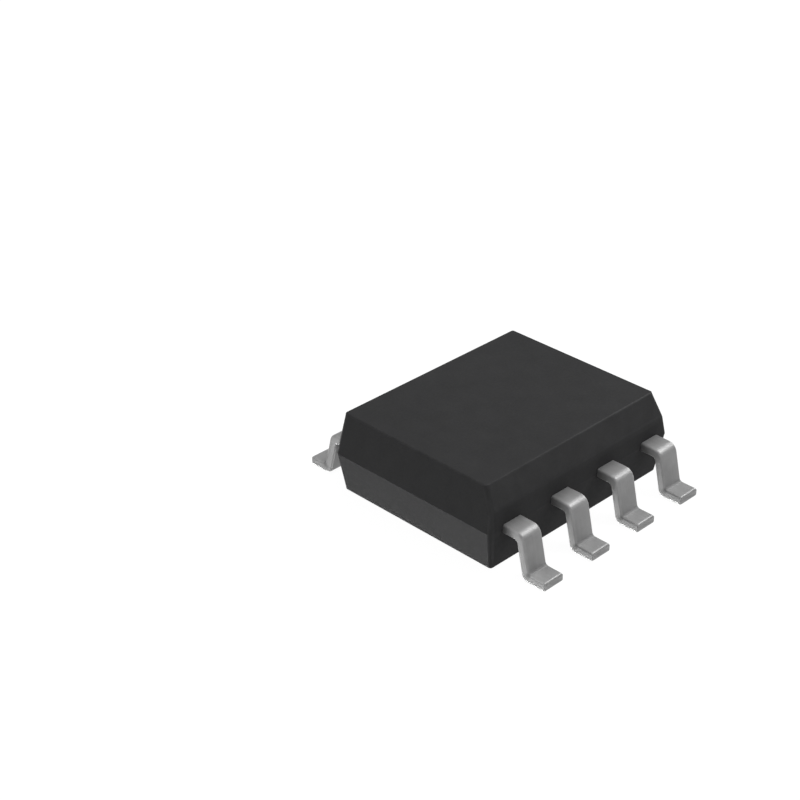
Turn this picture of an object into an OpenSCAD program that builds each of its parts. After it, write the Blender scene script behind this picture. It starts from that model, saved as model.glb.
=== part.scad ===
// Eight-lead small-outline package with an exposed heat pad, in millimetres.
// The board is the plane z = 0. X runs along the two rows of leads, Y from row to row.
// The origin is under the middle of the body, on the board.

/* [Body] */
// Length of the body at the parting line, along the rows of leads
body_l = 4.9; // [4.8:0.02:5.1]
// Width of the body at the parting line, from row to row
body_w = 3.9; // [3.8:0.02:4.0]
// Height of the top face above the board
top_h = 1.66; // [1.55:0.01:1.75]
// Height of the parting line above the board
part_h = 0.83; // [0.8:0.01:0.9]
// Gap between the board and the underside of the body
standoff = 0.02; // [0:0.01:0.08]
// Draft of the end walls above the parting line, in degrees
end_draft_up = 10; // [6:0.5:12]
// Draft of the end walls below the parting line, in degrees
end_draft_down = 9; // [6:0.5:12]
// Draft of the side walls, in degrees
side_draft = 7; // [5:0.5:9]
// Narrow land that the two mould halves leave at the parting line
part_land = 0.01; // [0.004:0.002:0.03]
// Radius on the edges of the body
body_edge_r = 0.04; // [0.03:0.005:0.08]
// Width of the bevel along the first row, seen from above
bevel_w = 0.18; // [0.12:0.01:0.25]
// Height of the bevel, down from the top face
bevel_h = 0.465; // [0.35:0.005:0.5]
// Radius where the bevel runs out into the wall below it
bevel_heel_r = 0.22; // [0.1:0.01:0.3]

/* [Leads] */
// Distance between the middles of neighbouring leads
pitch = 1.27; // [1.25:0.01:1.29]
// Distance from the tips of one row to the tips of the other
span = 5.88; // [5.8:0.01:6.1]
// Width of a lead
lead_w = 0.48; // [0.35:0.005:0.51]
// Thickness of the sheet that the leads and the pad are stamped from
sheet_t = 0.18; // [0.17:0.005:0.22]
// Radius on the long edges of a lead
lead_edge_r = 0.045; // [0.025:0.005:0.07]
// Radius on the upper and lower edges of the cut end of a lead
cut_edge_r = 0.045; // [0.01:0.005:0.06]
// Flat top of a foot, from its tip to the line of the shank
foot_l = 0.37; // [0.32:0.01:0.45]
// Lean of the shank inwards from upright, in degrees
shank_lean = 13.3; // [8:0.1:15]
// Radius in the corner between the foot and the shank
foot_in_r = 0.07; // [0.05:0.01:0.14]
// Radius of the heel, behind that corner
heel_r = 0.15; // [0.1:0.01:0.24]
// Radius in the corner below the shoulder
shoulder_in_r = 0.07; // [0.05:0.01:0.14]
// Radius on the outside of the shoulder
shoulder_out_r = 0.2; // [0.14:0.01:0.28]

/* [Inner leads] */
// Depth at which a lead widens inside the wall
root_l = 0.15; // [0.1:0.01:0.2]
// Least gap between pieces stamped from the one sheet
stamp_gap = 0.16; // [0.12:0.01:0.2]
// How far an inner land stands out past each side of its lead
land_wing = 0.16; // [0.08:0.01:0.2]
// How far the land of an end lead stands out past its lead
end_land_wing = 0.08; // [0.04:0.01:0.1]
// Distance from the middle of the body to the tip of an end lead's arm
arm_tip_y = 0.75; // [0.6:0.01:0.9]
// Radius at the corners of the lands and arms
land_r = 0.05; // [0.03:0.005:0.06]

/* [Heat pad] */
// Length of the exposed face of the pad
pad_l = 3.19; // [2.8:0.01:3.25]
// Width of the exposed face of the pad
pad_w = 2.5; // [2.2:0.01:2.6]
// Width of the ledge that locks the pad into the moulding
ledge_w = 0.1; // [0.06:0.01:0.12]
// Thickness left in the ledge
ledge_t = 0.1; // [0.08:0.01:0.12]
// Width of the tie bar at each end of the pad
tie_w = 0.32; // [0.25:0.01:0.4]
// Level run of the tie bar before it rises
tie_run = 0.1; // [0.06:0.01:0.12]
// Slope of the rising part of the tie bar, in degrees
tie_slope = 68; // [64:1:72]
// Moulding left over the end of each tie bar
tie_cover = 0.08; // [0.05:0.01:0.12]

/* [Die] */
// Length of the silicon die
die_l = 2.1; // [1.6:0.05:2.3]
// Width of the silicon die
die_w = 1.5; // [1.2:0.05:1.7]
// Thickness of the silicon die
die_t = 0.25; // [0.2:0.01:0.3]
// Thickness of the layer that bonds the die to the pad
glue_t = 0.03; // [0.02:0.005:0.05]
// How far the bonding layer creeps out round the die
glue_creep = 0.06; // [0.03:0.01:0.1]
// Corner radius of the bonding layer
glue_r = 0.12; // [0.08:0.01:0.2]

/* [Bond wires] */
// Diameter of a bond wire
wire_d = 0.05; // [0.03:0.005:0.06]
// Radius of the middle of the wire where it turns over its peak
wire_turn_r = 0.12; // [0.09:0.01:0.15]
// Slope of the wire as it comes down to the land, in degrees
wire_slope = 20; // [18:0.5:24]
// Diameter of the ball that bonds the wire to the die
ball_d = 0.12; // [0.1:0.01:0.14]
// Height of that ball
ball_h = 0.03; // [0.02:0.005:0.04]
// Diameter of the flattened end that bonds the wire to the land
stitch_d = 0.15; // [0.12:0.01:0.16]
// Thickness of the flattened end
stitch_t = 0.015; // [0.01:0.005:0.02]
// Distance from the edge of the die to the middle of a ball
ball_inset = 0.13; // [0.1:0.01:0.18]
// Place of the inner balls along the die, from its middle
inner_ball_x = 0.27; // [0.2:0.01:0.35]
// Place of the end balls along the die, from its end
end_ball_x = 0.2; // [0.15:0.01:0.3]
// Step of the end balls in from the row of the inner balls
end_ball_step = 0.16; // [0.1:0.01:0.2]
// Distance from the tip of an inner land to its stitch
stitch_inset = 0.13; // [0.1:0.01:0.15]
// Distance from the tip of an end arm to its stitch
arm_stitch_y = 0.32; // [0.2:0.01:0.4]

/* [Hidden] */

// Leads in one row
per_row = 4;
// Steps of an arc: a small corner, a bend, the rounded edge of a cut end, the heel of the bevel
corner_steps = 3;
bend_steps = 8;
tip_steps = 3;
heel_steps = 4;
// Sides of a wire, and facets of the balls that round the body's edges
wire_sides = 8;
edge_fn = 24;
// Facets of the round bonds
$fn = 32;
// Least radius left at the corners of a section that is drawn in
least_r = 0.004;
// How far each side of a lead draws in at its cut end
cut_narrow = 0.006;
// Distance by which the root of a lead runs into its land, and the rings of its straight root
tuck = 0.03;
root_rings = 3;

// Heights of the sheet where it lies at the parting line
sheet_top = part_h + sheet_t / 2;
sheet_under = part_h - sheet_t / 2;
// Heights of the stack on the pad
pad_top = standoff + sheet_t;
glue_top = pad_top + glue_t;
die_top = glue_top + die_t;

// A faceted ball of this radius reaches its faces, and a little past them to be cut flat
trim = 0.0005;
ball_r = body_edge_r / cos(180 / edge_fn) + trim;

// Half sizes of the pad with its ledge
plate_x = pad_l / 2 + ledge_w;
plate_y = pad_w / 2 + ledge_w;
// Nearest that an inner land and an end arm may come to the pad, seen from above
land_tip_y = plate_y + stamp_gap;
arm_in_x = plate_x + stamp_gap;
// Where a lead widens into its land
root_y = body_w / 2 - root_l;

// Middle of a lead, along its row
function lead_x(place) = (place - (per_row + 1) / 2) * pitch;
// The lead at the end of a row stands this far out
end_lead_x = lead_x(per_row);

// Half length and half width of the body, at a height
function half_l(z) = body_l / 2
    - max(0, z - part_h) * tan(end_draft_up)
    - max(0, part_h - z) * tan(end_draft_down);
function half_w(z) = body_w / 2 - abs(z - part_h) * tan(side_draft);

// The shank of a lead as seen along the row: its front and back faces lean towards the body.
// The front face meets the top of the foot at shank_y.
shank_y = -(span / 2 - foot_l);
function front_y(z) = shank_y + (z - sheet_t) * tan(shank_lean);
function back_y(z) = front_y(z) + sheet_t / cos(shank_lean);

// Where the wire at a place in the row is bonded: its ball on the die, and its stitch on the lead
function is_end(place) = place == 1 || place == per_row;
function side_of(place) = place <= per_row / 2 ? -1 : 1;
function ball_xy(place) = is_end(place)
    ? [side_of(place) * (die_l / 2 - end_ball_x), -(die_w / 2 - ball_inset - end_ball_step)]
    : [side_of(place) * inner_ball_x, -(die_w / 2 - ball_inset)];
arm_mid_x = (arm_in_x + end_lead_x + lead_w / 2) / 2;
function stitch_xy(place) = is_end(place)
    ? [side_of(place) * arm_mid_x, -(arm_tip_y + arm_stitch_y)]
    : [lead_x(place), -(land_tip_y + stitch_inset)];

// The second row is the first, turned half round
module in_row(n) {
    rotate([0, 0, n > per_row ? 180 : 0]) children();
}

// Corner points of a rectangle about the origin with round corners, in order
function rounded_rect(size, r, steps = corner_steps) = [
    for (corner = [0:3], k = [0:steps])
        let (
            a = 90 * (corner + k / steps),
            side = [corner == 0 || corner == 3 ? 1 : -1, corner < 2 ? 1 : -1]
        )
        [
            side.x * (size.x / 2 - r) + r * cos(a),
            side.y * (size.y / 2 - r) + r * sin(a)
        ]
];

// Points of an arc, each with the heading of the path there: [along, up, heading]
function arc_path(centre, r, from, to) = [
    for (k = [0:bend_steps])
        let (a = from + (to - from) * k / bend_steps)
        [centre.x + r * cos(a), centre.y + r * sin(a), a + (to > from ? 90 : -90)]
];

// A section stood up across a path: its x lies square to the heading, its y out of the plane
function ring(section, at) = [
    for (p = section) [at.x - p.x * sin(at[2]), at.y + p.x * cos(at[2]), p.y]
];

// A closed solid through rings that all have as many points
module skin(rings) {
    n = len(rings[0]);
    last = len(rings) - 1;
    polyhedron(
        points = [for (r = rings) each r],
        faces = [
            [for (i = [0:n - 1]) i],
            for (s = [0:last - 1], i = [0:n - 1])
                [s * n + i, (s + 1) * n + i, (s + 1) * n + (i + 1) % n, s * n + (i + 1) % n],
            [for (i = [n - 1:-1:0]) last * n + i]
        ]
    );
}

// Points on the rounding of a bend, from the foot's side to the shoulder's
function bend(centre, r, from, to) = [
    for (k = [0:bend_steps])
        let (a = from + (to - from) * k / bend_steps)
        centre + r * [cos(a), sin(a)]
];

// A section of a lead between a point on its back and one on its front, drawn in by an inset
// there, and by another at its sides
function lead_ring(back, front, inset = 0, side_inset = 0) =
    let (
        thick = norm(front - back),
        mid = (front + back) / 2,
        way = (front - back) / thick,
        section = rounded_rect(
            [thick - 2 * inset, lead_w - 2 * side_inset],
            max(lead_edge_r - inset, least_r)
        )
    )
    [for (p = section) [mid.x + p.x * way.x, mid.y + p.x * way.y, p.y]];

// Rings of a lead from its tip to its root in the wall, as seen along the row
function lead_rings() =
    let (
        // The cut end's edges are rounded by rings that widen to the full section
        tip = [
            for (k = [0:tip_steps])
                let (
                    a = 90 * k / tip_steps,
                    y = -span / 2 + cut_edge_r * (1 - cos(a)),
                    back_from_full = 1 - sin(a)
                )
                lead_ring(
                    [y, 0], [y, sheet_t],
                    cut_edge_r * back_from_full, cut_narrow * back_from_full
                )
        ],
        in_foot = sheet_t + foot_in_r,
        in_shoulder = sheet_under - shoulder_in_r,
        out_shoulder = sheet_top - shoulder_out_r,
        slant = 1 / cos(shank_lean),
        front = concat(
            bend([front_y(in_foot) - foot_in_r * slant, in_foot], foot_in_r, -90, -shank_lean),
            bend(
                [front_y(out_shoulder) + shoulder_out_r * slant, out_shoulder],
                shoulder_out_r, 180 - shank_lean, 90
            ),
            [[-root_y - tuck, sheet_top]]
        ),
        back = concat(
            bend([back_y(heel_r) - heel_r * slant, heel_r], heel_r, -90, -shank_lean),
            bend(
                [back_y(in_shoulder) + shoulder_in_r * slant, in_shoulder],
                shoulder_in_r, 180 - shank_lean, 90
            ),
            [[-root_y - tuck, sheet_under]]
        ),
        // The end of the strip narrows a little, so that it ends inside the land
        root = lead_ring(
            [-root_y + tuck, sheet_under], [-root_y + tuck, sheet_top],
            tuck / 2, tuck / 2
        )
    )
    [each tip, for (k = [0:len(front) - 1]) lead_ring(back[k], front[k]), root];

// A lead outside the body, or only its straight root through the wall, in the first row
module gull_wing(place, root_only) {
    rings = lead_rings();
    first = root_only ? len(rings) - root_rings : 0;
    translate([lead_x(place), 0, 0])
        rotate([90, 0, 90])
            skin([for (k = [first:len(rings) - 1]) rings[k]]);
}

// The land inside the body that the wire is bonded to, in the first row
module inner_land(place) {
    land_w = lead_w + 2 * (is_end(place) ? end_land_wing : land_wing);
    land_l = root_y - land_tip_y;
    arm_w = end_lead_x + lead_w / 2 - arm_in_x;
    arm_l = root_y - land_l / 2 - arm_tip_y;
    translate([0, 0, sheet_under])
        linear_extrude(sheet_t) {
            translate([lead_x(place), -root_y + land_l / 2])
                polygon(rounded_rect([land_w, land_l], land_r));
            if (is_end(place))
                translate([side_of(place) * arm_mid_x, -arm_tip_y - arm_l / 2])
                    polygon(rounded_rect([arm_w, arm_l], land_r));
        }
}

module lead(n, root_only = false) {
    place = n > per_row ? n - per_row : n;
    color("silver")
        in_row(n) {
            gull_wing(place, root_only);
            inner_land(place);
        }
}

// A tie bar: level beside the pad, up a slope, and level again at the parting line
module tie_bar() {
    run = (sheet_top - pad_top) / tan(tie_slope);
    // The turns of the lower face lie this far beyond those of the upper face
    miter = ledge_t * tan(tie_slope / 2);
    turn_x = plate_x + tie_run;
    end_x = half_l(sheet_top) - tie_cover;
    translate([0, tie_w / 2, 0])
        rotate([90, 0, 0])
            linear_extrude(tie_w)
                polygon([
                    [pad_l / 2, pad_top],
                    [turn_x, pad_top],
                    [turn_x + run, sheet_top],
                    [end_x, sheet_top],
                    [end_x, sheet_top - ledge_t],
                    [turn_x + run + miter, sheet_top - ledge_t],
                    [turn_x + miter, pad_top - ledge_t],
                    [pad_l / 2, pad_top - ledge_t]
                ]);
}

// The pad that the die sits on: its lower face is bare under the body
module heat_pad() {
    color("gainsboro")
        union() {
            translate([-pad_l / 2, -pad_w / 2, standoff]) cube([pad_l, pad_w, sheet_t]);
            translate([-plate_x, -plate_y, pad_top - ledge_t])
                cube([2 * plate_x, 2 * plate_y, ledge_t]);
            for (turn = [0, 180]) rotate(turn) tie_bar();
        }
}

// The layer that holds the die down
module die_attach() {
    color("lightgray")
        translate([0, 0, pad_top])
            linear_extrude(glue_t)
                polygon(rounded_rect([die_l + 2 * glue_creep, die_w + 2 * glue_creep], glue_r));
}

module die() {
    color("slategray")
        translate([-die_l / 2, -die_w / 2, glue_top])
            cube([die_l, die_w, die_t]);
}

// Cross-section of a wire, squashed by the two factors given
function wire_section(flat, wide) = [
    for (k = [0:wire_sides - 1])
        let (a = 360 * k / wire_sides)
        wire_d / 2 * [flat * cos(a), wide * sin(a)]
];

// A wire in the plane y = 0, from a ball on the die at x = 0 to a land at x = reach
module wire_loop(reach) {
    // Length of the slope, and the height at which the wire stops rising and turns over
    slope_l = (reach - wire_turn_r * (1 + sin(wire_slope))) / cos(wire_slope);
    end_z = sheet_top + stitch_t / 2;
    turn_z = end_z + slope_l * sin(wire_slope) - wire_turn_r * cos(wire_slope);
    round_wire = wire_section(1, 1);
    rise = [0, die_top + ball_h / 2, 90];
    turn = arc_path([wire_turn_r, turn_z], wire_turn_r, 180, 90 - wire_slope);
    // The wire is squashed flat over the last of its slope
    squash_x = reach - stitch_d / 2;
    squash = [squash_x, end_z + (reach - squash_x) * tan(wire_slope), -wire_slope];
    rotate([90, 0, 0])
        skin([
            ring(round_wire, rise),
            for (at = turn) ring(round_wire, at),
            ring(round_wire, squash),
            ring(wire_section(stitch_t / 2 / wire_d, stitch_d * 0.6 / wire_d), [reach, end_z, 0])
        ]);
    translate([0, 0, die_top]) cylinder(h = ball_h, d = ball_d);
    translate([reach, 0, sheet_top]) cylinder(h = stitch_t, d = stitch_d);
}

module bond_wire(n) {
    place = n > per_row ? n - per_row : n;
    ball = ball_xy(place);
    way = stitch_xy(place) - ball;
    color("gold")
        in_row(n)
            translate([ball.x, ball.y, 0])
                rotate(atan2(way.y, way.x))
                    wire_loop(norm(way));
}

// Centre of a round that touches two faces from inside, in the end view, where the faces meet
// at a point and lean by a and b from upright: [across, up]
function round_in(meet, a, b, r = body_edge_r) = meet
    - r / (1 + cos(a - b)) * [cos(a) + cos(b), sin(a) + sin(b)];

// A pair of balls that round the body's edges, one at each end of the body
module ball_pair(side, centre, end_draft) {
    in_x = half_l(centre.y) - body_edge_r / cos(end_draft);
    for (x = [-in_x, in_x])
        translate([x, side * centre.x, centre.y]) sphere(ball_r, $fn = edge_fn);
}

// The outside of the moulding, every edge rounded
module body_form() {
    bevel_z = top_h - bevel_h;
    bevel_top = [half_w(top_h) - bevel_w, top_h];
    bevel_low = [half_w(bevel_z), bevel_z];
    bevel_lean = atan((bevel_low.x - bevel_top.x) / bevel_h);
    heel = round_in(bevel_low, side_draft, bevel_lean, bevel_heel_r);
    intersection() {
        hull() {
            translate([0, 0, part_h - part_land / 2])
                linear_extrude(part_land)
                    polygon(rounded_rect([body_l, body_w], body_edge_r, edge_fn / 4));
            for (side = [-1, 1])
                ball_pair(
                    side,
                    round_in([half_w(standoff), standoff], -side_draft, -90),
                    end_draft_down
                );
            ball_pair(1, round_in([half_w(top_h), top_h], side_draft, 90), end_draft_up);
            ball_pair(-1, round_in(bevel_top, bevel_lean, 90), end_draft_up);
            // The heel's larger radius is swept by small balls, which keep the end edges small
            for (k = [0:heel_steps])
                let (a = side_draft + (bevel_lean - side_draft) * k / heel_steps)
                    ball_pair(
                        -1,
                        heel + (bevel_heel_r - body_edge_r) * [cos(a), sin(a)],
                        end_draft_up
                    );
        }
        // Cuts the top and the underside to true flat faces
        translate([-body_l, -body_w, standoff])
            cube([2 * body_l, 2 * body_w, top_h - standoff]);
    }
}

// The moulding, hollow only where the pieces that it holds are
module moulded_body() {
    color([0.17, 0.17, 0.17])
        difference() {
            body_form();
            heat_pad();
            die_attach();
            die();
            for (n = [1:2 * per_row]) {
                lead(n, root_only = true);
                bond_wire(n);
            }
        }
}

moulded_body();
heat_pad();
die_attach();
die();
lead(1);  // lead_1
lead(2);  // lead_2
lead(3);  // lead_3
lead(4);  // lead_4
lead(5);  // lead_5
lead(6);  // lead_6
lead(7);  // lead_7
lead(8);  // lead_8
bond_wire(1);  // bond_wire_1
bond_wire(2);  // bond_wire_2
bond_wire(3);  // bond_wire_3
bond_wire(4);  // bond_wire_4
bond_wire(5);  // bond_wire_5
bond_wire(6);  // bond_wire_6
bond_wire(7);  // bond_wire_7
bond_wire(8);  // bond_wire_8
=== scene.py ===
import math

import bmesh
import bpy
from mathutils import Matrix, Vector


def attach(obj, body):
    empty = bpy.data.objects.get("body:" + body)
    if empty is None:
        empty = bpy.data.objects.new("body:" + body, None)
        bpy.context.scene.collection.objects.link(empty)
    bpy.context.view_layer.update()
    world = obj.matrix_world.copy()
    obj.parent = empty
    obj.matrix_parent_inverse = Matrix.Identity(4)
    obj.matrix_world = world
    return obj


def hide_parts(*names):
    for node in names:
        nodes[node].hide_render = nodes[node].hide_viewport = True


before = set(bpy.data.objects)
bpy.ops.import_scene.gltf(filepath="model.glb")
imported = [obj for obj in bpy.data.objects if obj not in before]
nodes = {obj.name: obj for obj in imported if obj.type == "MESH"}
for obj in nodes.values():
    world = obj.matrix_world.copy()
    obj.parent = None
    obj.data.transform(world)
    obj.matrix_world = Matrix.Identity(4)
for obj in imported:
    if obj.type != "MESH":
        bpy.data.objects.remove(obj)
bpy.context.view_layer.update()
scene = bpy.context.scene

scene.view_settings.view_transform = "Standard"

# Sizes and places are in millimetres and degrees, and MM turns them into Blender's metres
MM = 0.001


def direction(azimuth, elevation):
    """The way from the chip to a camera or lamp. Azimuth 0 is in front of leads 1 to 4, and 90 is at +X."""
    a, e = math.radians(azimuth), math.radians(elevation)
    return Vector((math.sin(a) * math.cos(e), -math.cos(a) * math.cos(e), math.sin(e)))


def aim(o, way):
    """Turns a camera or a lamp to look back along the way it was placed."""
    o.rotation_mode = "QUATERNION"
    o.rotation_quaternion = (-way).to_track_quat("-Z", "Y")


# Camera
CAMERA_AT = (-21.239, -18.549, 17.969)
CAMERA_AZIMUTH, CAMERA_ELEVATION = 315, 30
SENSOR, LENS = 36.0, 79.54
HALF_PIXEL = 0.5 / 800
CLIP_NEAR, CLIP_FAR = 1.0, 5000.0


def make_camera():
    """The photograph's camera, fitted to the chip's straight edges."""
    data = bpy.data.cameras.new("camera")
    data.sensor_width = SENSOR
    data.lens = LENS
    data.shift_x = -HALF_PIXEL
    data.shift_y = HALF_PIXEL
    data.clip_start = CLIP_NEAR * MM
    data.clip_end = CLIP_FAR * MM
    camera = bpy.data.objects.new("camera", data)
    camera.location = Vector(CAMERA_AT) * MM
    aim(camera, direction(CAMERA_AZIMUTH, CAMERA_ELEVATION))
    scene.collection.objects.link(camera)
    return camera


scene.camera = make_camera()


# Node helpers
# A colour Mix node has its sockets at these numbers
MIX_FACTOR, MIX_A, MIX_B, MIX_RESULT = 0, 6, 7, 2


class Tree:
    """A few short calls for building a node tree. An input is a plain value or a socket to link."""

    def __init__(self, tree):
        self.tree = tree
        tree.nodes.clear()

    def add(self, kind, inputs=None, **settings):
        """Adds a node. Its settings come first, because some of them decide which inputs it has."""
        node = self.tree.nodes.new(kind)
        for key, value in settings.items():
            setattr(node, key, value)
        for key, value in (inputs or {}).items():
            if isinstance(value, bpy.types.NodeSocket):
                self.tree.links.new(value, node.inputs[key])
            else:
                node.inputs[key].default_value = value
        return node

    def math(self, operation, a, b):
        return self.add("ShaderNodeMath", {0: a, 1: b}, operation=operation).outputs[0]

    def position(self):
        """The place on the object, in metres."""
        return self.add("ShaderNodeTexCoord").outputs["Object"]

    def marked(self, name):
        """What a piece's own vertices say, or 0 on a piece without that layer."""
        return self.add("ShaderNodeAttribute", attribute_name=name).outputs["Fac"]

    def noise(self, at, scale, detail, rough):
        """Noise from 0 to 1, its scale in cells per metre."""
        inputs = {"Vector": at, "Scale": scale, "Detail": detail, "Roughness": rough}
        return self.add("ShaderNodeTexNoise", inputs).outputs["Fac"]

    def ramp(self, factor, stops):
        """Colours along a factor, each stop a position and a colour."""
        node = self.add("ShaderNodeValToRGB", {"Fac": factor})
        elements = node.color_ramp.elements
        while len(elements) > 1:
            elements.remove(elements[-1])
        elements[0].position, elements[0].color = stops[0]
        for position, colour in stops[1:]:
            elements.new(position).color = colour
        return node.outputs["Color"]

    def span(self, value, low, high, to_low, to_high):
        inputs = {"Value": value, "From Min": low, "From Max": high, "To Min": to_low, "To Max": to_high}
        return self.add("ShaderNodeMapRange", inputs).outputs["Result"]

    def scaled(self, colour, factor):
        inputs = {0: colour, "Scale": factor}
        return self.add("ShaderNodeVectorMath", inputs, operation="SCALE").outputs[0]

    def mix(self, factor, a, b):
        inputs = {MIX_FACTOR: factor, MIX_A: a, MIX_B: b}
        return self.add("ShaderNodeMix", inputs, data_type="RGBA").outputs[MIX_RESULT]

    def bump(self, height, strength, distance):
        inputs = {"Strength": strength, "Distance": distance * MM, "Height": height}
        return self.add("ShaderNodeBump", inputs).outputs[0]

    def surface(self, **inputs):
        """A principled shader on the output. An underscore in an input's name stands for a space."""
        inputs = {key.replace("_", " "): value for key, value in inputs.items()}
        shader = self.add("ShaderNodeBsdfPrincipled", inputs)
        self.add("ShaderNodeOutputMaterial", {"Surface": shader.outputs[0]})


def grey(value):
    return (value, value, value, 1.0)


def srgb(red, green, blue):
    """The linear colour of an sRGB one given in 0 to 255."""
    parts = (c / 255 for c in (red, green, blue))
    return (*(p / 12.92 if p <= 0.04045 else ((p + 0.055) / 1.055) ** 2.4 for p in parts), 1.0)


def material(name):
    m = bpy.data.materials.new(name)
    m.use_nodes = True
    return m, Tree(m.node_tree)


# Tones, from 0 to 255 as on a screen, and finishes
BODY_TONE, BODY_VARIES, BODY_ROUGH, BODY_SPECULAR = 41.3, 2, 0.6, 0.04
LEAD_TONE, PAD_TONE, TIN_VARIES = 119.5, 205, 5
# The burnish lightens a lead's edges, partly as wear and partly as a painted highlight; the dullness
# darkens its inner foot bend and its root as painted shade
TIN_ROUGH, TIN_METALLIC, TIN_SPECULAR, TIN_BURNISH_AND_HIGHLIGHT, TIN_PAINTED_SHADE = 0.42, 0.22, 0.42, 0.25, 0.35

# Grain sizes, in cells per metre
BODY_GRAIN, BODY_SHEEN, BODY_MOTTLE, BODY_CLOUD = 42000.0, 15000.0, 2600.0, 420.0
TIN_GRAIN, TIN_LINES, TIN_CLOUD = 38000.0, 30000.0, 3200.0
EPOXY_FLAKES, DIE_CELLS, DIE_SHEEN, GOLD_CLOUD = 60000.0, 9000.0, 12000.0, 30000.0


def make_moulding():
    """Black silica-filled epoxy: fine matt grain and faint clouds. Its rounds are lighter and smoother,
    partly as wear and partly as a painted highlight, and its bevel is lighter as painted light.
    """
    m, t = material("moulding_compound")
    at = t.position()
    wear_and_highlight = t.marked("wear_and_highlight")
    grain = t.noise(at, BODY_GRAIN, 3.0, 0.6)
    mottle = t.noise(at, BODY_MOTTLE, 3.0, 0.55)
    cloud = t.noise(at, BODY_CLOUD, 2.0, 0.5)
    tone = t.math("ADD", t.math("MULTIPLY", mottle, 0.6), t.math("MULTIPLY", cloud, 0.4))
    dark, light = BODY_TONE - BODY_VARIES, BODY_TONE + BODY_VARIES
    base = t.ramp(tone, [(0.3, srgb(dark, dark, dark + 0.5)), (0.7, srgb(light, light, light + 0.5))])
    speck = t.span(grain, 0.25, 0.75, 0.9, 1.1)
    # rounds lighter as wear and as a painted highlight, and the bevel lighter as painted light
    rubbed_and_lit = t.math("MULTIPLY", wear_and_highlight, t.span(mottle, 0.35, 0.65, 0.1, 0.24))
    colour = t.scaled(base, t.math("ADD", speck, rubbed_and_lit))
    rough = t.span(t.noise(at, BODY_SHEEN, 2.0, 0.6), 0.3, 0.7, BODY_ROUGH - 0.05, BODY_ROUGH + 0.05)
    rough = t.math("SUBTRACT", rough, t.math("MULTIPLY", wear_and_highlight, 0.1))
    height = t.math("ADD", t.math("MULTIPLY", grain, 0.6), t.math("MULTIPLY", mottle, 0.4))
    normal = t.bump(height, strength=0.25, distance=0.003)
    t.surface(Base_Color=colour, Roughness=rough, Specular_IOR_Level=BODY_SPECULAR, Normal=normal)
    return m


def make_tin(name, tone):
    """Matt tin plate: fine crystals, soft clouds and faint lines along the strip. Its edges are lighter,
    partly burnished and partly as a painted highlight, and painted shade darkens the foot's inner bend and
    the root.
    """
    m, t = material(name)
    at = t.position()
    wear_and_highlight, painted_shade = t.marked("wear_and_highlight"), t.marked("painted_shade")
    grain = t.noise(at, TIN_GRAIN, 3.0, 0.6)
    cloud = t.noise(at, TIN_CLOUD, 3.0, 0.55)
    along = t.add("ShaderNodeMapping", {"Vector": at, "Scale": (1.0, 0.06, 0.06)}).outputs[0]
    lines = t.noise(along, TIN_LINES, 2.0, 0.5)
    dark, light = tone - TIN_VARIES, tone + TIN_VARIES
    base = t.ramp(cloud, [(0.3, srgb(dark, dark, dark)), (0.7, srgb(light, light, light))])
    # edges lighter as burnish and painted highlight, and darker where painted shade lies in the foot's
    # inner bend and at the root
    bright = t.math("ADD", t.span(lines, 0.3, 0.7, 0.96, 1.04), t.math("MULTIPLY", wear_and_highlight, TIN_BURNISH_AND_HIGHLIGHT))
    bright = t.math("SUBTRACT", bright, t.math("MULTIPLY", painted_shade, TIN_PAINTED_SHADE))
    rough = t.span(grain, 0.3, 0.7, TIN_ROUGH - 0.05, TIN_ROUGH + 0.06)
    rough = t.math("SUBTRACT", rough, t.math("MULTIPLY", wear_and_highlight, 0.06))
    rough = t.math("ADD", rough, t.math("MULTIPLY", painted_shade, 0.25))
    height = t.math("ADD", t.math("MULTIPLY", grain, 0.7), t.math("MULTIPLY", lines, 0.3))
    t.surface(
        Base_Color=t.scaled(base, bright),
        Roughness=rough,
        Metallic=TIN_METALLIC,
        Specular_IOR_Level=TIN_SPECULAR,
        Normal=t.bump(height, strength=0.15, distance=0.002),
    )
    return m


def make_epoxy():
    """Dull resin full of silver flakes."""
    m, t = material("silver_epoxy")
    cells = {"Vector": t.position(), "Scale": EPOXY_FLAKES}
    flakes = t.add("ShaderNodeTexVoronoi", cells).outputs["Distance"]
    base = t.ramp(flakes, [(0.1, srgb(176, 174, 170)), (0.7, srgb(128, 126, 122))])
    normal = t.bump(flakes, strength=0.3, distance=0.003)
    t.surface(Base_Color=base, Roughness=0.65, Metallic=0.25, Normal=normal)
    return m


def make_silicon():
    """Polished silicon with a grid of circuit cells."""
    m, t = material("silicon")
    at = t.position()
    cells = {
        "Vector": at,
        "Scale": DIE_CELLS,
        "Mortar Size": 0.03,
        "Color1": srgb(70, 74, 86),
        "Color2": srgb(82, 84, 92),
        "Mortar": srgb(122, 126, 132),
    }
    base = t.add("ShaderNodeTexBrick", cells).outputs["Color"]
    rough = t.span(t.noise(at, DIE_SHEEN, 2.0, 0.5), 0.3, 0.7, 0.18, 0.3)
    t.surface(Base_Color=base, Roughness=rough, Metallic=0.2)
    return m


def make_gold():
    """Bright drawn gold."""
    m, t = material("gold_wire")
    cloud = t.noise(t.position(), GOLD_CLOUD, 2.0, 0.5)
    base = t.ramp(cloud, [(0.3, srgb(204, 160, 68)), (0.7, srgb(226, 184, 92))])
    rough = t.span(cloud, 0.3, 0.7, 0.24, 0.34)
    t.surface(Base_Color=base, Roughness=rough, Metallic=1.0)
    return m


moulding, epoxy, silicon, gold = make_moulding(), make_epoxy(), make_silicon(), make_gold()
tin, pad = make_tin("tin_plate", LEAD_TONE), make_tin("tin_pad", PAD_TONE)


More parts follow.
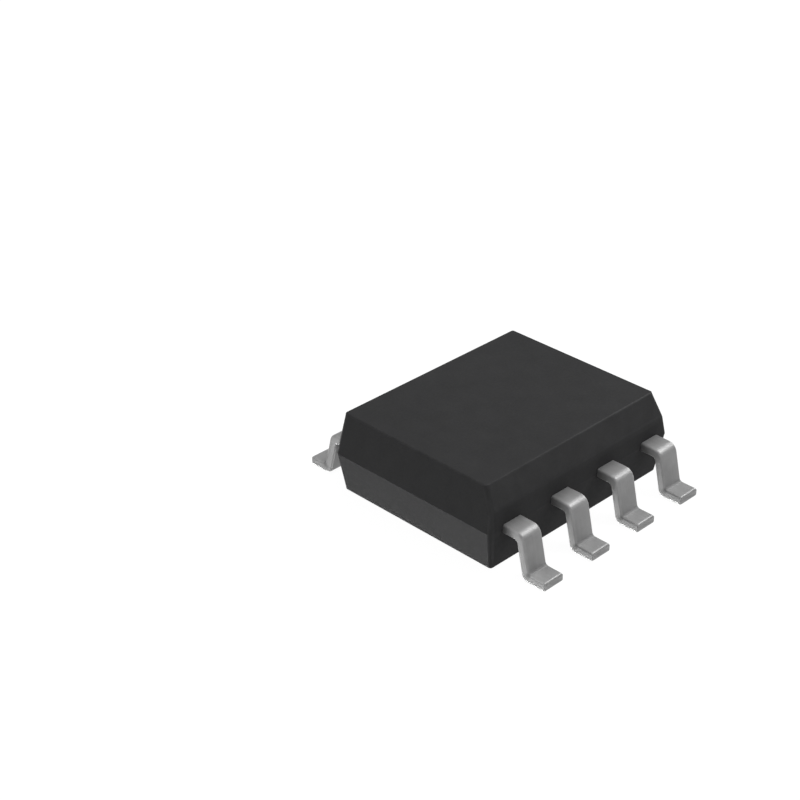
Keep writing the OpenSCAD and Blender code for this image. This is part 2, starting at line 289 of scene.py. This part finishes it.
# Sizes, as in the part's source
BODY_L, BODY_W, TOP_H, PART_H, STANDOFF = 4.9, 3.9, 1.66, 0.83, 0.02
DRAFT_UP, DRAFT_DOWN, DRAFT_SIDE = 10.0, 9.0, 7.0
BEVEL_W, BEVEL_H = 0.18, 0.465
PITCH, SPAN, LEAD_W, SHEET_T = 1.27, 5.88, 0.48, 0.18
LEAD_EDGE_R, CUT_EDGE_R, CUT_NARROW = 0.045, 0.045, 0.006
FOOT_L, LEAN, FOOT_IN_R, HEEL_R = 0.37, 13.3, 0.07, 0.15
SHOULDER_IN_R, SHOULDER_OUT_R = 0.07, 0.2
PAD_L, PAD_W = 3.19, 2.5


def tan(degrees):
    return math.tan(math.radians(degrees))


def half_l(z):
    """Half the body's length at a height."""
    return BODY_L / 2 - max(0, z - PART_H) * tan(DRAFT_UP) - max(0, PART_H - z) * tan(DRAFT_DOWN)


def half_w(z):
    """Half the body's width at a height, without the bevel."""
    return BODY_W / 2 - abs(z - PART_H) * tan(DRAFT_SIDE)


def place(bm, name, finish, stands_for):
    """Makes a piece of a bmesh in millimetres, with evenly shaded flats."""
    mesh = bpy.data.meshes.new(name)
    bmesh.ops.recalc_face_normals(bm, faces=bm.faces)
    bmesh.ops.scale(bm, vec=(MM, MM, MM), verts=bm.verts)
    for f in bm.faces:
        f.smooth = True
    bm.to_mesh(mesh)
    bm.free()
    mesh.materials.append(finish)
    o = bpy.data.objects.new(name, mesh)
    scene.collection.objects.link(o)
    even = o.modifiers.new("even_normals", "WEIGHTED_NORMAL")
    even.mode = "FACE_AREA"
    even.weight = 100
    even.keep_sharp = True
    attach(o, "root")
    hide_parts(stands_for)


# Moulded body
BEVEL_Z = TOP_H - BEVEL_H
FLAT_EDGE_R, UPRIGHT_EDGE_R, BEVEL_HEEL_R = 0.04, 0.1, 0.45
# Most that a round may cut back from its edge, and the faces across it
MOST_CUT, ROUND_STEPS = 0.12, 6
# Wear and painted highlight on the rounds, most on the upright corners; on the bevel's flat it is painted
# light alone, making it lighter
BEVEL_PAINTED_LIGHT, ROUND_WEAR_AND_HIGHLIGHT, UPRIGHT_WEAR_AND_HIGHLIGHT = 0.6, 1.0, 1.8
# A face larger than this, in square millimetres, is a flat and not part of a round
FLAT_AREA = 0.25
# How far the rounds reach in from an end wall, a bevel's heel, the front wall, and the top or bottom
CORNER_REACH, HEEL_REACH, WALL_REACH, EDGE_REACH = 0.06, 0.12, 0.1, 0.05
# What is nearer to the top than this belongs to the top's flat and not to the bevel
TOP_SKIN = 0.003
# The pad's hole: how far its walls go up, and the normal of a face that belongs to the underside
PAD_REVEAL, FACING_DOWN = 0.08, -0.999
# Tolerances for what lies inside the hole and for what lies on the parting line
SLACK, SAME_HEIGHT = 0.01, 1e-4


def body_corners(z, front):
    """The four corners of the body at a height, its front edge at y = -front."""
    x, y = half_l(z), half_w(z)
    return [(-x, -front, z), (x, -front, z), (x, y, z), (-x, y, z)]


def sides(ring):
    """The four edges of a ring of corners, each as the pair of its ends."""
    return {frozenset((ring[k], ring[(k + 1) % 4])) for k in range(4)}


def body_cage():
    """The drafted, bevelled moulding as flat walls, in metres, each edge weighted by its rounding."""
    bm = bmesh.new()
    bottom, middle, top = (
        [bm.verts.new(corner) for corner in body_corners(z, front)]
        for z, front in (
            (STANDOFF, half_w(STANDOFF)),
            (PART_H, half_w(PART_H)),
            (TOP_H, half_w(TOP_H) - BEVEL_W),
        )
    )
    # the bevel's lower edge runs across the front wall, from end wall to end wall
    left = bm.verts.new((-half_l(BEVEL_Z), -half_w(BEVEL_Z), BEVEL_Z))
    right = bm.verts.new((half_l(BEVEL_Z), -half_w(BEVEL_Z), BEVEL_Z))
    bm.faces.new(bottom[::-1])
    bm.faces.new(top)
    for k in range(4):
        j = (k + 1) % 4
        bm.faces.new((bottom[k], bottom[j], middle[j], middle[k]))
    bm.faces.new((middle[0], middle[1], right, left))
    bm.faces.new((left, right, top[1], top[0]))
    bm.faces.new((middle[1], middle[2], top[2], top[1], right))
    bm.faces.new((middle[2], middle[3], top[3], top[2]))
    bm.faces.new((middle[3], middle[0], left, top[0], top[3]))
    bmesh.ops.recalc_face_normals(bm, faces=bm.faces)
    # each edge is cut back by its radius times the tangent of half its turn; the parting line stays sharp
    radius = dict.fromkeys(sides(middle), 0.0)
    radius.update(dict.fromkeys(sides(bottom) | sides(top), FLAT_EDGE_R))
    radius[frozenset((left, right))] = BEVEL_HEEL_R
    weight = bm.edges.layers.float.new("bevel_weight_edge")
    for e in bm.edges:
        r = radius.get(frozenset(e.verts), UPRIGHT_EDGE_R)
        e[weight] = r * math.tan(e.calc_face_angle() / 2) / MOST_CUT
    bmesh.ops.scale(bm, vec=(MM, MM, MM), verts=bm.verts)
    mesh = bpy.data.meshes.new("cage")
    bm.to_mesh(mesh)
    bm.free()
    return mesh


def rounded(mesh):
    """A bmesh in millimetres of a cage, its edges rounded by their weights."""
    cage = bpy.data.objects.new("cage", mesh)
    scene.collection.objects.link(cage)
    bevel = cage.modifiers.new("edges", "BEVEL")
    bevel.limit_method = "WEIGHT"
    bevel.offset_type = "OFFSET"
    bevel.width = MOST_CUT * MM
    bevel.segments = ROUND_STEPS
    bpy.context.view_layer.update()
    done = bpy.data.meshes.new_from_object(cage.evaluated_get(bpy.context.evaluated_depsgraph_get()))
    bpy.data.objects.remove(cage)
    bm = bmesh.new()
    bm.from_mesh(done)
    bmesh.ops.scale(bm, vec=(1 / MM, 1 / MM, 1 / MM), verts=bm.verts)
    return bm


def wear_and_highlight_at(v):
    """The wear and painted highlight of a round, most on an upright one. Of the flats only the bevel has
    any, as painted light that makes it lighter.
    """
    x, y, z = v.co
    between_ends = abs(x) < half_l(z) - CORNER_REACH
    on_flat = any(f.calc_area() > FLAT_AREA for f in v.link_faces)
    on_heel = abs(z - BEVEL_Z) < HEEL_REACH and y < WALL_REACH - half_w(z) and between_ends
    if on_flat or on_heel:
        # the bevel's flat gets painted light, which makes it lighter
        on_bevel = BEVEL_Z < z < TOP_H - TOP_SKIN and y < 0 and between_ends
        return BEVEL_PAINTED_LIGHT if on_bevel else 0.0
    upright = STANDOFF + EDGE_REACH < z < TOP_H - EDGE_REACH
    return UPRIGHT_WEAR_AND_HIGHLIGHT if upright else ROUND_WEAR_AND_HIGHLIGHT


def open_underside(bm):
    """Opens the underside where the heat pad shows, and gives the hole its walls."""
    half = (PAD_L / 2, PAD_W / 2)
    for axis, side in ((0, 1), (0, -1), (1, 1), (1, -1)):
        flat = [f for f in bm.faces if f.normal.z < FACING_DOWN]
        cut = flat + list({e for f in flat for e in f.edges}) + list({v for f in flat for v in f.verts})
        way, at = [0, 0, 0], [0, 0, 0]
        way[axis], at[axis] = 1, side * half[axis]
        bmesh.ops.bisect_plane(bm, geom=cut, plane_co=at, plane_no=way)
    hole = [
        f
        for f in bm.faces
        if f.normal.z < FACING_DOWN
        and abs(f.calc_center_median().x) < half[0] - SLACK
        and abs(f.calc_center_median().y) < half[1] - SLACK
    ]
    around = [e for f in hole for e in f.edges]
    bmesh.ops.delete(bm, geom=hole, context="FACES_ONLY")
    rim = [e for e in around if e.is_valid]
    walls = bmesh.ops.extrude_edge_only(bm, edges=rim)
    for v in walls["geom"]:
        if isinstance(v, bmesh.types.BMVert):
            v.co.z += PAD_REVEAL
    for e in rim:
        if e.is_valid:
            e.smooth = False


def make_body():
    """The moulding: rounded, with wear and a painted highlight on its rounds and painted light on its
    bevel, sharp along its parting line, and open where the heat pad shows.
    """
    bm = rounded(body_cage())
    wear_and_highlight = bm.verts.layers.float.new("wear_and_highlight")
    for v in bm.verts:
        v[wear_and_highlight] = wear_and_highlight_at(v)
    for e in bm.edges:
        if all(abs(v.co.z - PART_H) < SAME_HEIGHT for v in e.verts):
            e.smooth = False
    open_underside(bm)
    place(bm, "moulding", moulding, "moulded_body")


make_body()


# Leads
BEND_STEPS, CORNER_STEPS = 20, 6
# A lead is drawn to here, just inside the wall, and darkened there by this much painted shade
ROOT_Y, ROOT_PAINTED_SHADE = -1.8, 0.9
LEAST_EDGE_R = 0.004
# What a point of a lead holds: its place, its wear and painted highlight, and its painted shade
X, Y, Z, WEAR_HIGHLIGHT, SHADE = range(5)


def arc(centre, r, start, end):
    """Points along an arc in a lead's side view, y first and then z, between two angles."""
    angles = (math.radians(start + (end - start) * k / BEND_STEPS) for k in range(BEND_STEPS + 1))
    return [Vector((centre[0] + r * math.cos(a), centre[1] + r * math.sin(a))) for a in angles]


def section(back, front, painted_shade=0.0, inset=0.0, side_inset=0.0):
    """Points round a lead's section between its back and its front, corners rounded.
    Each has its place, its wear and painted highlight, which are most at the corners, and its painted
    shade, on the front alone."""
    across = front - back
    thick, way, middle = across.length, across.normalized(), (front + back) / 2
    half_t, half_across = thick / 2 - inset, LEAD_W / 2 - side_inset
    r = max(LEAD_EDGE_R - inset, LEAST_EDGE_R)
    points = []
    for corner in range(4):
        to_front = 1 if corner in (0, 3) else -1
        to_side = 1 if corner < 2 else -1
        for k in range(CORNER_STEPS + 1):
            a = math.radians(90 * (corner + k / CORNER_STEPS))
            out = to_front * (half_t - r) + r * math.cos(a)
            x = to_side * (half_across - r) + r * math.sin(a)
            # wear and painted highlight peak at the middle of each corner; painted shade lies on the front
            # face alone
            wear_and_highlight = math.sin(math.pi * k / CORNER_STEPS)
            front_shade = painted_shade if to_front > 0 else 0.0
            points.append((x, middle.x + out * way.x, middle.y + out * way.y, wear_and_highlight, front_shade))
    return points


def cut_end():
    """Rings of points round the rounded end of a foot."""
    rings = []
    for k in range(CORNER_STEPS + 1):
        a = math.radians(90 * k / CORNER_STEPS)
        y = -SPAN / 2 + CUT_EDGE_R * (1 - math.cos(a))
        short = 1 - math.sin(a)
        under, top = Vector((y, 0)), Vector((y, SHEET_T))
        rings.append(section(under, top, inset=CUT_EDGE_R * short, side_inset=CUT_NARROW * short))
    return rings


def lead_rings():
    """Rings of points along a lead, from cut end to root, with painted shade in the foot's inner bend and
    at the root.
    """
    slant = 1 / math.cos(math.radians(LEAN))
    top, under = PART_H + SHEET_T / 2, PART_H - SHEET_T / 2

    def front_y(z):
        return FOOT_L - SPAN / 2 + (z - SHEET_T) * tan(LEAN)

    def back_y(z):
        return front_y(z) + SHEET_T * slant

    def from_foot(shank_y, r, level):
        """The bend from a level face of the foot up into the shank."""
        z = level + r
        return arc((shank_y(z) - r * slant, z), r, -90, -LEAN)

    def to_shoulder(shank_y, r, level):
        """The bend from the shank into a level face of the shoulder."""
        z = level - r
        return arc((shank_y(z) + r * slant, z), r, 180 - LEAN, 90)

    front = from_foot(front_y, FOOT_IN_R, SHEET_T) + to_shoulder(front_y, SHOULDER_OUT_R, top)
    back = from_foot(back_y, HEEL_R, 0) + to_shoulder(back_y, SHOULDER_IN_R, under)
    front.append(Vector((ROOT_Y, top)))
    back.append(Vector((ROOT_Y, under)))
    # painted shade rises and falls across the foot's inner bend, is none in the shoulder's bend, and is
    # strongest at the root
    bend = [math.sin(math.pi * k / BEND_STEPS) for k in range(BEND_STEPS + 1)]
    painted_shade = bend + [0.0] * (BEND_STEPS + 1) + [ROOT_PAINTED_SHADE]
    return cut_end() + [section(*ends) for ends in zip(back, front, painted_shade)]


def make_lead(number):
    """Leads 1 to 4 run along the front. The others are the same, turned half round."""
    shift = ((number - 1) % 4 - 1.5) * PITCH
    turn = -1 if number > 4 else 1
    bm = bmesh.new()
    wear_and_highlight, painted_shade = bm.verts.layers.float.new("wear_and_highlight"), bm.verts.layers.float.new("painted_shade")
    rings = []
    for points in lead_rings():
        ring = [bm.verts.new((turn * (p[X] + shift), turn * p[Y], p[Z])) for p in points]
        for v, p in zip(ring, points):
            v[wear_and_highlight] = p[WEAR_HIGHLIGHT]
            v[painted_shade] = p[SHADE]
        rings.append(ring)
    count = len(rings[0])
    for a, b in zip(rings, rings[1:]):
        for i in range(count):
            j = (i + 1) % count
            bm.faces.new((a[i], a[j], b[j], b[i]))
    bm.faces.new(rings[0])
    bm.faces.new(rings[-1])
    place(bm, f"gull_wing_{number}", tin, f"lead_{number}")


for number in range(1, 9):
    make_lead(number)


# Pieces inside the moulding, and the heat pad
FINISHES = {"die": silicon, "die_attach": epoxy, "heat_pad": pad}

for name, o in nodes.items():
    if name != "moulded_body" and not name.startswith("lead"):
        o.data.materials.clear()
        o.data.materials.append(FINISHES.get(name, gold))


# Floor and backdrop
FLOOR_R, FLOOR_SIDES = 600.0, 64
FLOOR_DIFFUSE, FLOOR_SEEN, FLOOR_LIGHT = 0.06, 0.96, 0.38
# The floor looks a little darker than white out to the first radius, and white from the second on
SHADOW_NEAR, SHADOW_FAR = 12.0, 50.0
# Heights in the sky, from 0 at the horizon to 1 overhead, and how bright it is at and below them
BACKDROP_TOP, SKY_RISES, SKY_FULL = 0.08, 0.66, 0.84
SKY_LOW, SKY_HIGH = 0.22, 1.25


def floor_mesh():
    """A flat disc at the height of the feet."""
    mesh = bpy.data.meshes.new("floor")
    turns = (math.tau * k / FLOOR_SIDES for k in range(FLOOR_SIDES))
    ring = [(FLOOR_R * MM * math.cos(a), FLOOR_R * MM * math.sin(a), 0) for a in turns]
    mesh.from_pydata(ring, [], [tuple(range(FLOOR_SIDES))])
    return mesh


def make_floor():
    """A white light table: it shows white, gives a soft glow from below and lets lamps under it through."""
    mesh = floor_mesh()
    floor = bpy.data.objects.new("floor", mesh)
    scene.collection.objects.link(floor)
    m, t = material("floor_white")
    path = t.add("ShaderNodeLightPath").outputs
    seen = t.math("MAXIMUM", path["Is Camera Ray"], path["Is Glossy Ray"])
    seen = t.math("MAXIMUM", seen, path["Is Transmission Ray"])
    # less than white near the chip, so that its shadow shows
    out = t.add("ShaderNodeVectorMath", {0: t.position()}, operation="LENGTH").outputs["Value"]
    shown = t.span(out, SHADOW_NEAR * MM, SHADOW_FAR * MM, FLOOR_SEEN, 1.0)
    glow = t.span(seen, 0, 1, FLOOR_LIGHT, shown)
    diffuse = t.add("ShaderNodeBsdfDiffuse", {"Color": grey(FLOOR_DIFFUSE)}).outputs[0]
    emit = t.add("ShaderNodeEmission", {"Color": grey(1.0), "Strength": glow}).outputs[0]
    white = t.add("ShaderNodeAddShader", {0: diffuse, 1: emit}).outputs[0]
    clear = t.add("ShaderNodeBsdfTransparent").outputs[0]
    under = t.add("ShaderNodeNewGeometry").outputs["Backfacing"]
    through = t.math("MAXIMUM", under, path["Is Shadow Ray"])
    surface = t.add("ShaderNodeMixShader", {0: through, 1: white, 2: clear}).outputs[0]
    t.add("ShaderNodeOutputMaterial", {"Surface": surface})
    mesh.materials.append(m)


def make_world():
    """White to the camera, and low down to a mirror. The light is a soft sky that is brightest overhead."""
    world = bpy.data.worlds.new("studio")
    scene.world = world
    world.use_nodes = True
    t = Tree(world.node_tree)
    up = t.add("ShaderNodeTexCoord").outputs["Generated"]
    z = t.add("ShaderNodeSeparateXYZ", {0: up}).outputs["Z"]
    sky = t.ramp(z, [(0.0, grey(SKY_LOW)), (SKY_RISES, grey(SKY_LOW)), (SKY_FULL, grey(SKY_HIGH))])
    path = t.add("ShaderNodeLightPath").outputs
    mirrored = t.math("MAXIMUM", path["Is Glossy Ray"], path["Is Transmission Ray"])
    low = t.span(z, BACKDROP_TOP / 2, BACKDROP_TOP, 1.0, 0.0)
    white = t.math("MAXIMUM", path["Is Camera Ray"], t.math("MULTIPLY", mirrored, low))
    light = t.add("ShaderNodeBackground", {"Color": t.mix(white, sky, grey(1.0)), "Strength": 1.0})
    t.add("ShaderNodeOutputWorld", {"Surface": light.outputs[0]})


# Lamps, each with its azimuth, its elevation and its power in watts. Those below 0 shine through the floor
LAMPS = {
    "key": (60, 52, 0.113),
    "side": (90, 28, 0.072),
    "back_left": (-120, 30, 0.046),
    "left": (-90, 12, 0.006),
    "front_left": (-45, 15, 0.02),
    "table_left": (-160, -60, 0.094),
    "table_front": (0, -50, 0.038),
    "table_back_left": (-120, -30, 0.027),
}
LAMP_AWAY, LAMP_SIZE = 120, 50


def make_lamp(name, azimuth, elevation, power):
    """A square softbox that faces the middle of the chip."""
    way = direction(azimuth, elevation)
    data = bpy.data.lights.new(name, "AREA")
    data.shape = "SQUARE"
    data.size = LAMP_SIZE * MM
    data.energy = power
    data.cycles.use_multiple_importance_sampling = elevation > 0
    o = bpy.data.objects.new(name, data)
    o.location = way * LAMP_AWAY * MM + Vector((0, 0, PART_H * MM))
    aim(o, way)
    o.visible_camera = False
    scene.collection.objects.link(o)


make_floor()
make_world()
for name, lamp in LAMPS.items():
    make_lamp(name, *lamp)
